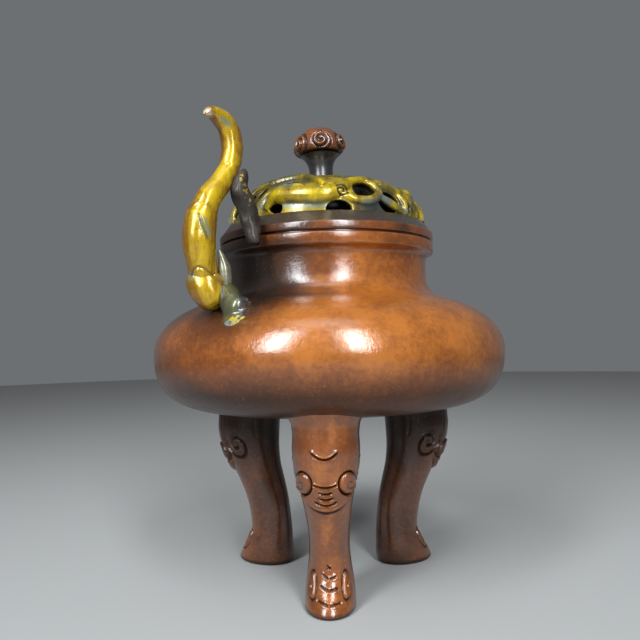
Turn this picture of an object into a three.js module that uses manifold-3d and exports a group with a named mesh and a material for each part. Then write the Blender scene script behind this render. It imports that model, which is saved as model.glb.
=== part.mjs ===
// A lidded tripod incense burner in cast copper alloy: a squat round vessel on three legs,
// a pierced gilt lid with a knob, and one gilt branch that serves as the handle.
//
// Units are millimetres and +Z is up. The origin is on the vessel's axis, level with the soles.
// A bearing is an angle about that axis in degrees: 0 is the front leg, at -Y, and 90 is +X.

import * as THREE from "three";
import { mergeVertices } from "three/addons/utils/BufferGeometryUtils.js";
import Module from "manifold-3d";

const wasm = await Module();
wasm.setup();

// Fits
const brazeGap = 0.3; // between brazed pieces, where the filler metal goes
const lidPlay = 0.8; // radial play of the lid's skirt in the neck
const slipFit = 0.15; // radial play of a stud in its hole
const edgeBreak = 0.7; // worn bevel on the rims

// Vessel, from the ground up
const vesselUnderside = 63.2;
const undersideFlat = 32; // radius where the underside starts to curve up
const bellyRadius = 65.9;
const bellyRise = 21.8; // from the underside to the widest ring
const bellyFullness = 0.73; // 0.55 would make the lower curve an ellipse, 1 a corner
const shoulderInset = 6; // how far inside the neck the shoulder's curve is centred
const shoulderRise = 20.5; // how far the shoulder's curve would rise if it went on to its top
const shoulderEnd = 70; // degrees of that curve which are there
const neckFillet = 8;
const neckLength = 13; // from the fillet's centre to the rim
const neckInset = 3; // how far the neck stands back from the rim
const rimRadius = 41;
const rimBand = 4; // height of the plain band round the mouth
const rimCove = 3; // height of the curve under the band
const vesselWall = 3.5;

// Lid ring
const lidFlangeEdge = 3.2; // height of the flange's upright edge
const lidSlopeRun = 4.5; // how far the slope over that edge runs in
const lidSlopeRise = 3.5;
const shadowGap = 0.7; // undercut that shows as a dark line over the rim
const shadowGapDepth = 1.8;
const skirtDepth = 6;
const skirtWall = 2.2;
const domeSeatDepth = 1; // how deep the dome sits in the ring

// Pierced dome
const domeStraight = 1.4; // upright foot of the dome's wall
const domeCrownRadius = 15.1; // radius where the crown goes nearly flat
const domeRise = 16.2;
const domeCrownFall = 0.5; // how much the crown still falls from its centre
const domeWall = 2.4;

// Knob
const knobStemFoot = 5.1;
const knobStemWaist = 4.6;
const knobWaistHeight = 6;
const knobStemHead = 7.9;
const knobStemHeight = 11.3;
const knobCapRadius = 9.7;
const knobCapHeight = 10.8;
const knobCapLip = 2.9; // height of the cap's widest ring over its underside
const knobCapUndercut = 35; // degrees by which the cap turns in under its widest ring
const knobLobes = 6;
const knobLobeDepth = 0.5;
const spigotRadius = 2.4;
const spigotHeight = 4;
const studRadius = 1.5;
const washerRadius = 4.4;
const washerThickness = 0.8;
const nutAcrossFlats = 5.5;
const nutHeight = 2.4;
const studBelowNut = 1;

// Legs
const legCount = 3;
const legReach = 39.8; // from the axis to the middle of the knee
const legDepth = 13.2; // half of the knee, front to back
const legWidth = 11.1; // half of the knee, side to side
const legOverlap = 3.8; // how far the leg's own shape goes on inside the vessel
const maskProud = 0.7; // how far the mask on the knee stands over the leg
const maskBack = 9; // how far behind the leg's middle the mask reaches
const chinDrop = 28.2; // from the vessel's underside to the mask's chin
const chinRadius = 12.5;
const eyeDrop = 18.5;
const eyeBearing = 39;
const eyeRadius = 3.8;
const eyeProud = 1.1;
const toeCurlHeight = 8.8;
const toeCurlBearing = 50;
const toeCurlRadius = 2.8;
const toeCurlProud = 0.9;

// Handle
const handleBearing = -39;
const footAngle = 47.3; // how far up the shoulder's curve the handle stands, in degrees
const branchHeight = 64; // from the shoulder to the top of the bend
const branchRadius = 4.4;
const twigRadius = 3.4;
const twigClearance = 0.5; // between the twig's thickest part and the lid

// How finely curves are cut
const roundSides = 44;
const insideSides = 28;
const lidSides = 40;
const domeSides = 28;
const openingSides = 8;
const vineSides = 5;
const knobSides = 20;
const studSides = 10;
const legSides = 12;
const branchSides = 10;
const twigSides = 8;

// Places that follow from the sizes
const bellyHeight = vesselUnderside + bellyRise;
const neckRadius = rimRadius - neckInset;
const shoulderCentre = neckRadius - shoulderInset;
const mouthRadius = neckRadius - vesselWall;
const lidEdgeRadius = rimRadius;
const domeRadius = lidEdgeRadius - lidSlopeRun;

const degrees = Math.PI / 180;
const shoulderTop = bellyHeight + shoulderRise * Math.sin(shoulderEnd * degrees);
const filletStart = 255; // degrees round the fillet's centre where it leaves the shoulder
const filletHeight = shoulderTop - neckFillet * Math.sin(filletStart * degrees);
const rimTop = filletHeight + neckLength;
const bandFoot = rimTop - rimBand;
const lidEdgeTop = rimTop + shadowGap + lidFlangeEdge;
const lidSlopeTop = lidEdgeTop + lidSlopeRise;
const domeFoot = lidSlopeTop - domeSeatDepth;
const domeSpring = domeFoot + domeStraight;
const domeShoulderTop = domeSpring + domeRise; // where the side passes into the crown
const domeTop = domeShoulderTop + domeCrownFall;
const knobFoot = domeTop + brazeGap;
const capUnderside = knobFoot + knobStemHeight;
const legTop = vesselUnderside + legOverlap;
const chinHeight = vesselUnderside - chinDrop;
const eyeHeight = vesselUnderside - eyeDrop;

const copper = new THREE.MeshStandardMaterial({ color: 0x6b3219, roughness: 0.35, metalness: 0.6 });
const gilt = new THREE.MeshStandardMaterial({ color: 0xc9a21a, roughness: 0.3, metalness: 0.7 });
const darkBronze = new THREE.MeshStandardMaterial({ color: 0x4a4238, roughness: 0.45, metalness: 0.6 });
const steel = new THREE.MeshStandardMaterial({ color: 0x8a8a86, roughness: 0.4, metalness: 0.9 });

// A closed BufferGeometry as a solid that can be joined and cut.
function solidOf(geometry) {
  const bare = geometry.clone();
  bare.deleteAttribute("normal");
  bare.deleteAttribute("uv");
  const merged = mergeVertices(bare, 1e-4);
  return new wasm.Manifold(
    new wasm.Mesh({
      numProp: 3,
      vertProperties: merged.attributes.position.array,
      triVerts: new Uint32Array(merged.index.array),
    }),
  );
}

// A solid as a geometry again.
function geometryOf(solid) {
  const { numProp, vertProperties, triVerts } = solid.getMesh();
  const count = vertProperties.length / numProp;
  const positions = new Float32Array(count * 3);
  for (let i = 0; i < count; i += 1) {
    positions.set(vertProperties.subarray(i * numProp, i * numProp + 3), i * 3);
  }
  const geometry = new THREE.BufferGeometry();
  geometry.setAttribute("position", new THREE.BufferAttribute(positions, 3));
  geometry.setIndex(new THREE.BufferAttribute(triVerts, 1));
  geometry.computeVertexNormals();
  return geometry;
}

function pieceOf(name, solid, material) {
  const mesh = new THREE.Mesh(geometryOf(solid), material);
  mesh.name = name;
  return mesh;
}

// A point of an outline.
function at(radius, height) {
  return new THREE.Vector2(radius, height);
}

// Turns an outline, a list of points that runs anticlockwise, about the vessel's axis.
function revolve(outline, sides) {
  const points = outline.filter((p, i) => i === 0 || p.distanceTo(outline[i - 1]) > 1e-3);
  if (points[0].x > 0) points.push(points[0].clone());
  return solidOf(new THREE.LatheGeometry(points, sides).rotateX(Math.PI / 2));
}

// A ring with a rectangular section.
function ringPlate(outer, inner, from, to, sides) {
  return revolve([at(inner, from), at(outer, from), at(outer, to), at(inner, to)], sides);
}

// A round rod along the vessel's axis.
function rod(radius, from, to, sides) {
  const cylinder = new THREE.CylinderGeometry(radius, radius, to - from, sides);
  return solidOf(cylinder.rotateX(Math.PI / 2).translate(0, 0, (from + to) / 2));
}

// The point at a radius, bearing and height.
function polar(radius, bearing, height) {
  const angle = bearing * degrees;
  return new THREE.Vector3(radius * Math.sin(angle), -radius * Math.cos(angle), height);
}

// Closes a stack of equal rings into one solid.
function skin(rings) {
  const sides = rings[0].length;
  const positions = rings.flat().flatMap((p) => p.toArray());
  const centres = [rings[0], rings[rings.length - 1]].map((ring) =>
    ring.reduce((sum, p) => sum.add(p), new THREE.Vector3()).divideScalar(sides),
  );
  positions.push(...centres.flatMap((p) => p.toArray()));
  const start = rings.length * sides;
  const index = [];
  for (let k = 0; k < sides; k += 1) {
    const next = (k + 1) % sides;
    for (let r = 0; r + 1 < rings.length; r += 1) {
      const low = r * sides;
      const high = low + sides;
      index.push(low + k, low + next, high + next, low + k, high + next, high + k);
    }
    const last = (rings.length - 1) * sides;
    index.push(start, next, k, start + 1, last + k, last + next);
  }
  const geometry = new THREE.BufferGeometry();
  geometry.setAttribute("position", new THREE.Float32BufferAttribute(positions, 3));
  geometry.setIndex(index);
  return solidOf(geometry);
}

// A smooth value through stations, each [place, value, value, ...].
function through(stations) {
  const places = stations.map((s) => s[0]);
  const values = stations.flatMap((s) => s.slice(1));
  const curve = new THREE.CubicInterpolant(places, values, stations[0].length - 1);
  return (place) => Array.from(curve.evaluate(place));
}

// A tube through stations, each [point, radius]. `flat` squeezes it across its bend, and `grow`
// makes it larger all over, to cut its seat in another piece.
function branchTube(stations, steps, sides, { flat = 1, grow = 0 } = {}) {
  const curve = new THREE.CatmullRomCurve3(stations.map(([point]) => point));
  const last = stations.length - 1;
  const radiusAt = through(stations.map(([, radius], i) => [i / last, radius]));
  const frames = curve.computeFrenetFrames(steps, false);
  const rings = [];
  for (let i = 0; i <= steps; i += 1) {
    const place = curve.getUtoTmapping(i / steps);
    const centre = curve.getPoint(place);
    const [radius] = radiusAt(place);
    const ring = [];
    for (let k = 0; k < sides; k += 1) {
      const angle = (k / sides) * Math.PI * 2;
      const across = frames.normals[i].clone().multiplyScalar(Math.cos(angle) * (radius + grow));
      const along = frames.binormals[i].clone().multiplyScalar(Math.sin(angle) * (radius * flat + grow));
      ring.push(centre.clone().add(across).add(along));
    }
    rings.push(ring);
  }
  return skin(rings);
}

// Vessel

// From the underside's edge over the belly and the shoulder to the foot of the neck. `inset` is the
// wall's thickness for the inside, and less than nothing makes the outside larger, to cut seats.
function bodyOutline(inset, steps) {
  const low = vesselUnderside + inset;
  const wide = bellyRadius - inset;
  const run = (wide - undersideFlat) * bellyFullness;
  const rise = (bellyHeight - low) * bellyFullness;
  const hollow = neckFillet + inset;
  const belly = new THREE.CubicBezierCurve(
    at(undersideFlat, low),
    at(undersideFlat + run, low),
    at(wide, bellyHeight - rise),
    at(wide, bellyHeight),
  );
  const shoulder = new THREE.EllipseCurve(
    shoulderCentre, bellyHeight, wide - shoulderCentre, shoulderRise - inset, 0, shoulderEnd * degrees,
  );
  const fillet = new THREE.EllipseCurve(
    neckRadius + neckFillet, filletHeight, hollow, hollow, filletStart * degrees, Math.PI, true,
  );
  const curves = [belly, shoulder, fillet];
  return [at(0, low), ...curves.flatMap((curve) => curve.getPoints(steps))];
}

// The outside of the vessel up to the rim. `grow` makes it larger, to cut seats in other pieces.
function filledVessel(grow = 0) {
  const coveFoot = at(neckRadius + grow, bandFoot - rimCove);
  const coveBend = at(neckRadius + grow, bandFoot - rimCove / 3);
  const cove = new THREE.QuadraticBezierCurve(coveFoot, coveBend, at(rimRadius + grow, bandFoot));
  const bevel = [at(rimRadius + grow, rimTop - edgeBreak), at(rimRadius + grow - edgeBreak, rimTop)];
  return revolve([...bodyOutline(-grow, 5), ...cove.getPoints(3), ...bevel, at(0, rimTop)], roundSides);
}

function makeVessel() {
  const over = rimTop + 1; // the cut runs out through the mouth
  const inside = [...bodyOutline(vesselWall, 4), at(mouthRadius, over), at(0, over)];
  return filledVessel().subtract(revolve(inside, insideSides));
}

// Legs

// Up the leg, as shares of its height, its reach, its half depth and its half width. The last
// rows spread into the vessel's underside.
const legShape = through([
  [0, 0.814, 0.864, 0.766],
  [0.063, 0.784, 0.826, 0.766],
  [0.127, 0.759, 0.735, 0.739],
  [0.206, 0.744, 0.682, 0.676],
  [0.301, 0.751, 0.674, 0.622],
  [0.411, 0.789, 0.712, 0.64],
  [0.522, 0.857, 0.765, 0.712],
  [0.617, 0.927, 0.833, 0.793],
  [0.728, 0.982, 0.917, 0.919],
  [0.839, 1, 0.977, 1],
  [0.949, 0.987, 1, 1],
  [0.989, 0.98, 1.02, 1.04],
  [1.021, 0.975, 1.08, 1.15],
  [1.06, 0.967, 1.2, 1.35],
]);

// The leg's surface at an angle round it, where 0 faces out.
function legPoint(height, around, grow = 0) {
  const [reach, depth, width] = legShape(height / vesselUnderside);
  return new THREE.Vector3(
    (width * legWidth + grow) * Math.sin(around),
    -reach * legReach - (depth * legDepth + grow) * Math.cos(around),
    height,
  );
}

function legLoft(from, to, steps, grow) {
  const rings = [];
  for (let i = 0; i <= steps; i += 1) {
    const height = from + ((to - from) * i) / steps;
    const ring = [];
    for (let k = 0; k < legSides; k += 1) {
      ring.push(legPoint(height, (k / legSides) * Math.PI * 2, grow));
    }
    rings.push(ring);
  }
  return skin(rings);
}

// The mask's U-shaped outline seen from the front, extruded from its back out past the leg.
function maskOutline() {
  const shape = new THREE.Shape();
  const side = legWidth * 2;
  const centre = chinHeight + chinRadius;
  shape.moveTo(side, legTop);
  shape.lineTo(-side, legTop);
  shape.lineTo(-chinRadius, centre);
  shape.absarc(0, centre, chinRadius, Math.PI, 2 * Math.PI, false);
  const depth = maskBack + legDepth * 2;
  const geometry = new THREE.ExtrudeGeometry(shape, { depth, bevelEnabled: false, curveSegments: 5 });
  return solidOf(geometry.rotateX(Math.PI / 2).translate(0, maskBack - legReach, 0));
}

// A low round boss on the leg's surface.
function legBoss(height, bearing, radius, proud, grow) {
  const centre = legPoint(height, bearing * degrees, grow);
  const boss = new THREE.SphereGeometry(1, 9, 5)
    .scale(radius, proud, radius)
    .rotateZ(bearing * degrees)
    .translate(centre.x, centre.y, centre.z);
  return solidOf(boss);
}

function makeLeg() {
  const mask = legLoft(chinHeight - edgeBreak, legTop, 6, maskProud);
  let leg = legLoft(0, legTop, 15, 0).add(mask.intersect(maskOutline()));
  for (const side of [-1, 1]) {
    leg = leg.add(legBoss(eyeHeight, side * eyeBearing, eyeRadius, eyeProud, maskProud));
    leg = leg.add(legBoss(toeCurlHeight, side * toeCurlBearing, toeCurlRadius, toeCurlProud, 0));
  }
  return leg.subtract(filledVessel(brazeGap));
}

// Handle

const footRadius = shoulderCentre + (bellyRadius - shoulderCentre) * Math.cos(footAngle * degrees);
const footHeight = bellyHeight + shoulderRise * Math.sin(footAngle * degrees);

// Rows are the turn from the handle's bearing, the way out from its foot and up from it as shares of
// the branch's height, and the thickness as a share of the branch's.
function stationsOf(rows) {
  return rows.map(([turn, out, up, thickness]) => [
    polar(footRadius + out * branchHeight, handleBearing + turn, footHeight + up * branchHeight),
    thickness * branchRadius,
  ]);
}

const shootStations = stationsOf([
  [2, 0.072, 0.983, 0.27],
  [2, 0.035, 0.996, 0.48],
  [2, -0.012, 0.986, 0.66],
  [2, -0.064, 0.955, 0.77],
  [2, -0.094, 0.899, 0.84],
  [2, -0.1, 0.818, 0.84],
  [2, -0.075, 0.727, 0.82],
  [2, -0.009, 0.633, 0.84],
  [2, 0.056, 0.561, 0.93],
  [1.5, 0.092, 0.483, 1],
  [1, 0.106, 0.405, 1],
]);
const sheathStations = stationsOf([
  [1.5, 0.081, 0.521, 1.05],
  [1, 0.106, 0.43, 1.18],
  [0.5, 0.11, 0.338, 1.2],
  [0, 0.091, 0.243, 1.11],
  [-0.3, 0.069, 0.171, 1.05],
  [0, 0.053, 0.111, 0.86],
]);
const bulbStations = stationsOf([
  [-3.2, 0.088, 0.19, 0.59],
  [-2.5, 0.078, 0.165, 1.11],
  [-0.6, 0.05, 0.107, 1.43],
  [1.4, 0.024, 0.049, 1.27],
  [2.4, 0.01, 0.021, 0.77],
]);

function makeBranch(grow = 0) {
  const shoot = branchTube(shootStations, 24, branchSides, { grow });
  const sheath = branchTube(sheathStations, 9, branchSides, { grow });
  const bulb = branchTube(bulbStations, 8, branchSides, { grow });
  return shoot.add(sheath).add(bulb);
}

// The root spreads like a trumpet where it runs into the shoulder.
const rootStations = stationsOf([
  [3, -0.006, 0.099, 0.77],
  [6, -0.003, 0.055, 0.91],
  [9.4, 0.01, 0.008, 1.07],
  [12, 0.016, -0.029, 1.36],
  [13.6, 0.01, -0.06, 1.82],
  [14.4, -0.009, -0.089, 2.5],
]);

function makeRoot(grow = 0) {
  return branchTube(rootStations, 9, branchSides, { grow });
}

// The twig leans on the branch and hangs beside the lid. Rows are the turn, the share of the way from
// the hanging line out to the branch, the height and the thickness.
const twigLine = lidEdgeRadius + twigClearance + twigRadius;
const twigJoin = footRadius - branchHeight * 0.081;
const twigStations = [
  [7.6, 0.59, 0.711, 0.29],
  [6.4, 0.76, 0.679, 0.53],
  [4.8, 1, 0.632, 0.79],
  [4.6, 0.84, 0.586, 0.97],
  [5.7, 0.43, 0.544, 1],
  [6.7, 0.18, 0.494, 0.94],
  [7.7, 0.08, 0.44, 0.85],
  [8.8, 0.02, 0.386, 0.74],
  [9.6, 0, 0.341, 0.44],
].map(([turn, out, up, thickness]) => [
  polar(twigLine + out * (twigJoin - twigLine), handleBearing + turn, footHeight + up * branchHeight),
  thickness * twigRadius,
]);

const leafStations = stationsOf([
  [3.4, 0.019, 0.286, 0.14],
  [3.6, 0.003, 0.243, 0.36],
  [4, -0.008, 0.19, 0.48],
  [4.2, -0.011, 0.136, 0.43],
  [4.4, -0.006, 0.09, 0.27],
]);

// Lid

function makeLidRing() {
  const skirtRadius = mouthRadius - lidPlay;
  const skirtInside = skirtRadius - skirtWall;
  const gapBottom = lidEdgeRadius - shadowGapDepth;
  const gapTop = rimTop + shadowGap;
  const seatRadius = domeRadius + brazeGap;
  const outline = [
    at(skirtInside, rimTop - skirtDepth),
    at(skirtRadius, rimTop - skirtDepth),
    at(skirtRadius, rimTop),
    at(gapBottom, rimTop),
    at(gapBottom, gapTop),
    at(lidEdgeRadius - edgeBreak, gapTop),
    at(lidEdgeRadius, gapTop + edgeBreak),
    at(lidEdgeRadius, lidEdgeTop - edgeBreak),
    at(lidEdgeRadius - edgeBreak, lidEdgeTop),
    at(seatRadius + brazeGap, lidSlopeTop),
    at(seatRadius, lidSlopeTop),
    at(seatRadius, domeFoot),
    at(domeRadius - domeWall, domeFoot),
    at(skirtInside, rimTop + lidSlopeRise / 2),
  ];
  return revolve(outline, lidSides);
}

// The dome as a solid, or with an inset of the wall's thickness its inside.
function domeBody(inset, steps) {
  const foot = inset ? domeFoot - 1 : domeFoot; // the cut runs out through the foot
  const side = new THREE.EllipseCurve(
    domeCrownRadius, domeSpring, domeRadius - domeCrownRadius - inset, domeRise - inset, 0, Math.PI / 2,
  );
  const wall = [at(domeRadius - inset, foot), ...side.getPoints(steps)];
  return revolve([at(0, foot), ...wall, at(0, domeTop - inset)], domeSides);
}

// A point on the dome, by bearing and by the angle that its curve has risen through.
function domePoint(bearing, rise) {
  const angle = rise * degrees;
  const radius = domeCrownRadius + (domeRadius - domeCrownRadius) * Math.cos(angle);
  return polar(radius, bearing, domeSpring + domeRise * Math.sin(angle));
}

// One third of the openwork. Openings: bearing, rise, half width, half height and tilt.
const openings = [
  [25.6, 28, 4.2, 4.1, 12],
  [9.5, 0, 4.4, 3.3, 0],
  [-26.5, 9, 3.6, 2.3, -38],
  [-39.4, 32, 1.3, 2.6, -12],
  [-47, 24, 1.7, 2.6, 0],
  [-20.5, 45, 3.3, 2.6, 10],
  [40.5, 14, 4.6, 3.9, -12],
  [57.5, 16, 1.8, 3.6, 0],
];

// Vines that stand over the dome: bearing, rise and radius at each point.
const vines = [
  [[-29, 12, 1.6], [-26, 22, 2.5], [-12, 21, 2.8], [0, 19, 2.7], [10, 25, 2.3], [19, 40, 1.7],
    [31, 45, 1.5], [44, 35, 1.6], [58, 23, 1.5], [66, 10, 1.4], [68, 0, 1.2]],
  [[12, 20, 1.5], [18, 13, 1.5], [27, 12, 1.6], [34, 22, 1.6], [33, 36, 1.4], [29, 44, 1.2]],
  [[33, 20, 1.2], [40, 12, 1.5], [48, 4, 1.5], [52, 0, 1.2]],
  [[50, 31, 1.2], [53, 15, 1.4], [53, 0, 1.2]],
  [[-38, 0, 1.8], [-36, 12, 1.6], [-31, 28, 1.5], [-16, 33, 1.6], [-9, 26, 1.6]],
  [[-56, 14, 1.4], [-48, 36, 1.5], [-36, 52, 1.4], [-16, 58, 1.4], [-4, 46, 1.4], [2, 34, 1.4]],
];

// Turns a piece drawn at the origin, with its height along +Z, to stand on the dome's surface.
function standOnDome(geometry, bearing, rise) {
  const angle = rise * degrees;
  const outward = polar(domeRise * Math.cos(angle), bearing, 0);
  outward.z = (domeRadius - domeCrownRadius) * Math.sin(angle);
  outward.normalize();
  const across = polar(1, bearing + 90, 0);
  const up = outward.clone().cross(across);
  const turn = new THREE.Matrix4().makeBasis(across, up, outward).setPosition(domePoint(bearing, rise));
  return geometry.applyMatrix4(turn);
}

function openingCutter([bearing, rise, halfWidth, halfHeight, tilt], turn) {
  const depth = domeWall * 4;
  const cutter = new THREE.CylinderGeometry(1, 1, depth, openingSides)
    .rotateX(Math.PI / 2)
    .scale(halfWidth, halfHeight, 1)
    .rotateZ(tilt * degrees);
  return solidOf(standOnDome(cutter, bearing + turn, rise));
}

function vineTube(rows, turn) {
  const stations = rows.map(([bearing, rise, radius]) => [domePoint(bearing + turn, rise), radius]);
  return branchTube(stations, rows.length, vineSides);
}

function makeDome() {
  const ringTop = lidSlopeTop + brazeGap;
  const turns = [0, 120, 240];
  let dome = domeBody(0, 6);
  for (const turn of turns) {
    for (const opening of openings) dome = dome.subtract(openingCutter(opening, turn));
  }
  for (const turn of turns) {
    for (const vine of vines) dome = dome.add(vineTube(vine, turn));
  }
  const outsideRing = ringPlate(domeRadius * 1.5, domeRadius, domeFoot - domeWall, ringTop, domeSides);
  const footBand = ringPlate(domeRadius, domeRadius - domeWall * 2, domeFoot, ringTop, domeSides);
  const hole = rod(studRadius + slipFit, domeSpring, domeTop + domeWall, studSides);
  return dome.subtract(outsideRing).add(footBand).subtract(domeBody(domeWall, 4)).subtract(hole);
}

// Knob

const washerTop =
  domeTop - domeWall - (domeCrownFall * washerRadius) / domeCrownRadius - brazeGap;

function makeKnobStem() {
  const tail = washerTop - washerThickness - nutHeight - studBelowNut;
  const waist = knobFoot + knobWaistHeight;
  const flareBend = at(knobStemWaist, (waist + capUnderside) / 2);
  const flareEnd = at(knobStemHead, capUnderside);
  const flare = new THREE.QuadraticBezierCurve(at(knobStemWaist, waist), flareBend, flareEnd);
  const outline = [
    at(0, tail),
    at(studRadius, tail),
    at(studRadius, knobFoot),
    at(knobStemFoot, knobFoot),
    ...flare.getPoints(4),
    at(spigotRadius, capUnderside),
    at(spigotRadius, capUnderside + spigotHeight),
    at(0, capUnderside + spigotHeight),
  ];
  return revolve(outline, knobSides);
}

// A mushroom cap whose side swells into lobes.
function makeKnobCap() {
  const underside = capUnderside + brazeGap;
  const rows = 11;
  const rings = [];
  for (let i = 0; i < rows; i += 1) {
    const rise = -knobCapUndercut + ((knobCapUndercut + 85) * i) / (rows - 1);
    const angle = rise * degrees;
    const half = rise < 0 ? knobCapLip / Math.sin(knobCapUndercut * degrees) : knobCapHeight - knobCapLip;
    const height = underside + knobCapLip + half * Math.sin(angle);
    const ring = [];
    for (let k = 0; k < knobSides; k += 1) {
      const bearing = (k / knobSides) * 360;
      const lobe = knobLobeDepth * Math.cos(knobLobes * bearing * degrees);
      ring.push(polar((knobCapRadius + lobe) * Math.cos(angle), bearing, height));
    }
    rings.push(ring);
  }
  const socketTop = capUnderside + spigotHeight + brazeGap;
  return skin(rings).subtract(rod(spigotRadius + slipFit, capUnderside, socketTop, knobSides));
}

function makeWasher() {
  const hole = studRadius + slipFit;
  return ringPlate(washerRadius, hole, washerTop - washerThickness, washerTop, studSides);
}

function makeNut() {
  const top = washerTop - washerThickness;
  const hexagon = rod(nutAcrossFlats / Math.sqrt(3), top - nutHeight, top, 6);
  return hexagon.subtract(rod(studRadius + slipFit, top - nutHeight * 2, top + nutHeight, studSides));
}

// The burner, put together

const burner = new THREE.Group();

burner.add(pieceOf("vessel", makeVessel(), copper));

const legNames = ["leg_front", "leg_right", "leg_left"];
const leg = makeLeg();
for (let i = 0; i < legCount; i += 1) {
  const mount = new THREE.Group();
  mount.rotation.z = (i * 360 * degrees) / legCount;
  mount.add(pieceOf(legNames[i], leg, copper));
  burner.add(mount);
}

const vesselSeat = filledVessel(brazeGap);
const branchSeat = makeBranch(brazeGap);
const rootSeat = makeRoot(brazeGap);
burner.add(pieceOf("handle_branch", makeBranch().subtract(vesselSeat), gilt));
burner.add(pieceOf("handle_root", makeRoot().subtract(vesselSeat).subtract(branchSeat), darkBronze));
const twig = branchTube(twigStations, 14, twigSides).subtract(branchSeat);
burner.add(pieceOf("handle_twig", twig, darkBronze));
const leaf = branchTube(leafStations, 8, twigSides, { flat: 0.6 });
burner.add(pieceOf("handle_leaf", leaf.subtract(branchSeat).subtract(rootSeat), gilt));

burner.add(pieceOf("lid_ring", makeLidRing(), copper));
burner.add(pieceOf("lid_dome", makeDome(), gilt));
burner.add(pieceOf("knob_stem", makeKnobStem(), darkBronze));
burner.add(pieceOf("knob_cap", makeKnobCap(), copper));
burner.add(pieceOf("knob_washer", makeWasher(), steel));
burner.add(pieceOf("knob_nut", makeNut(), steel));

export default burner;
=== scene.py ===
# %% [markdown]
# # A tripod incense burner, dressed for its portrait
# The burner is cast in copper alloy: a squat vessel on three legs carved with beast masks, a gilt
# branch for a handle, and a lid with a pierced gilt dome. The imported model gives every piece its
# size and place. This lesson makes the surface that the eye sees, piece by piece.

# %% Frame and units
import math

import bpy
import numpy as np
from mathutils import Matrix, Vector, noise


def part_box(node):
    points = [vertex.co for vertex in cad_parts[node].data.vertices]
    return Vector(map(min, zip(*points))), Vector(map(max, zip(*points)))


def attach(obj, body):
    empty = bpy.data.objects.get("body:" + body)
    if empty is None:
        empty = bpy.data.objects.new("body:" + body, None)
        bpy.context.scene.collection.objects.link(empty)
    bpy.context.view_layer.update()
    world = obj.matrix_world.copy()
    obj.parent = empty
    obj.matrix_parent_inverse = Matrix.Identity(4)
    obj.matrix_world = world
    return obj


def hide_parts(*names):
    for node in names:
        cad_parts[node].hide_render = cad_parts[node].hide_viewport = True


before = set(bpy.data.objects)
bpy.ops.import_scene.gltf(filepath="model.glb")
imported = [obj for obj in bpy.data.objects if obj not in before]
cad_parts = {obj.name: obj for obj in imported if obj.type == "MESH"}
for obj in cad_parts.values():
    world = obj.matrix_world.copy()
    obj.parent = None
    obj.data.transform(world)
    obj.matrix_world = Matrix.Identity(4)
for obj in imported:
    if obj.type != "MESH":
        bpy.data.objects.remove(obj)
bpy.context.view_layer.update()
MM = 0.001
print("nodes in the frame:", len(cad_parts))


def height_of(node):
    """The lowest and highest level of a node, in millimetres."""
    low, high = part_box(node)
    return low.z / MM, high.z / MM


def radius_of(node):
    """The furthest reach of a round node from the axis, in millimetres."""
    low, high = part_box(node)
    return high.y / MM


# %% [markdown]
# Three small habits keep the later cells short. Nothing is selected before a primitive is added,
# edit mode starts with everything selected, and a piece is always left in object mode.


# %% Selecting and editing
def deselect():
    if bpy.context.object and bpy.context.object.mode != "OBJECT":
        bpy.ops.object.mode_set(mode="OBJECT")
    bpy.ops.object.select_all(action="DESELECT")


def pick(obj):
    deselect()
    obj.select_set(True)
    bpy.context.view_layer.objects.active = obj


def edit(obj):
    pick(obj)
    bpy.ops.object.mode_set(mode="EDIT")
    bpy.ops.mesh.select_all(action="SELECT")


def finish_edit():
    bpy.ops.object.mode_set(mode="OBJECT")
    return bpy.context.object


def close_up(obj, merge):
    """Welds a seam, fills what is still open and turns every face outwards."""
    edit(obj)
    bpy.ops.mesh.remove_doubles(threshold=merge * MM)
    bpy.ops.mesh.delete_loose()
    bpy.ops.mesh.select_all(action="SELECT")
    bpy.ops.mesh.fill_holes(sides=0)
    bpy.ops.mesh.select_all(action="SELECT")
    bpy.ops.mesh.normals_make_consistent(inside=False)
    return finish_edit()


def smooth(obj, angle):
    pick(obj)
    bpy.ops.object.shade_smooth_by_angle(angle=math.radians(angle))


def apply_modifiers(obj):
    pick(obj)
    for modifier in list(obj.modifiers):
        bpy.ops.object.modifier_apply(modifier=modifier.name)


def joined(name, parts):
    deselect()
    for part in parts:
        part.select_set(True)
    bpy.context.view_layer.objects.active = parts[0]
    bpy.ops.object.join()
    parts[0].name = name
    return parts[0]


def melted(name, parts, voxel, rounds):
    """Joins pieces, melts them into one skin of voxels this size and smooths it."""
    obj = joined(name, parts)
    obj.data.remesh_voxel_size = voxel * MM
    bpy.ops.object.voxel_remesh()
    edit(obj)
    bpy.ops.mesh.vertices_smooth(factor=0.5, repeat=rounds)
    return finish_edit()


def positions(obj):
    """A mesh's points in millimetres, as rows of x, y and z."""
    flat = np.empty(len(obj.data.vertices) * 3)
    obj.data.vertices.foreach_get("co", flat)
    return flat.reshape(-1, 3) / MM


def move_to(obj, points):
    obj.data.vertices.foreach_set("co", (np.asarray(points) * MM).ravel())
    obj.data.update()


def paint(obj, name, amount):
    """Keeps a value from 0 to 1 at each point, which the piece's finish reads by its name."""
    layer = obj.data.attributes.new(name, "FLOAT", "POINT")
    layer.data.foreach_set("value", np.clip(amount, 0, 1))


# %% [markdown]
# Cast and turned pieces are drawn as half a section, radius by height, and spun about the burner's
# axis. The section is a ring of points in the plane of X and Z, and the spin is one operator.


# %% Sections that spin
def arc(centre, radii, start, stop, steps):
    """Points on an arc of an ellipse, from one angle to another in degrees."""
    angles = np.radians(np.linspace(start, stop, steps + 1))
    return [(centre[0] + radii[0] * math.cos(a), centre[1] + radii[1] * math.sin(a)) for a in angles]


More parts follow.
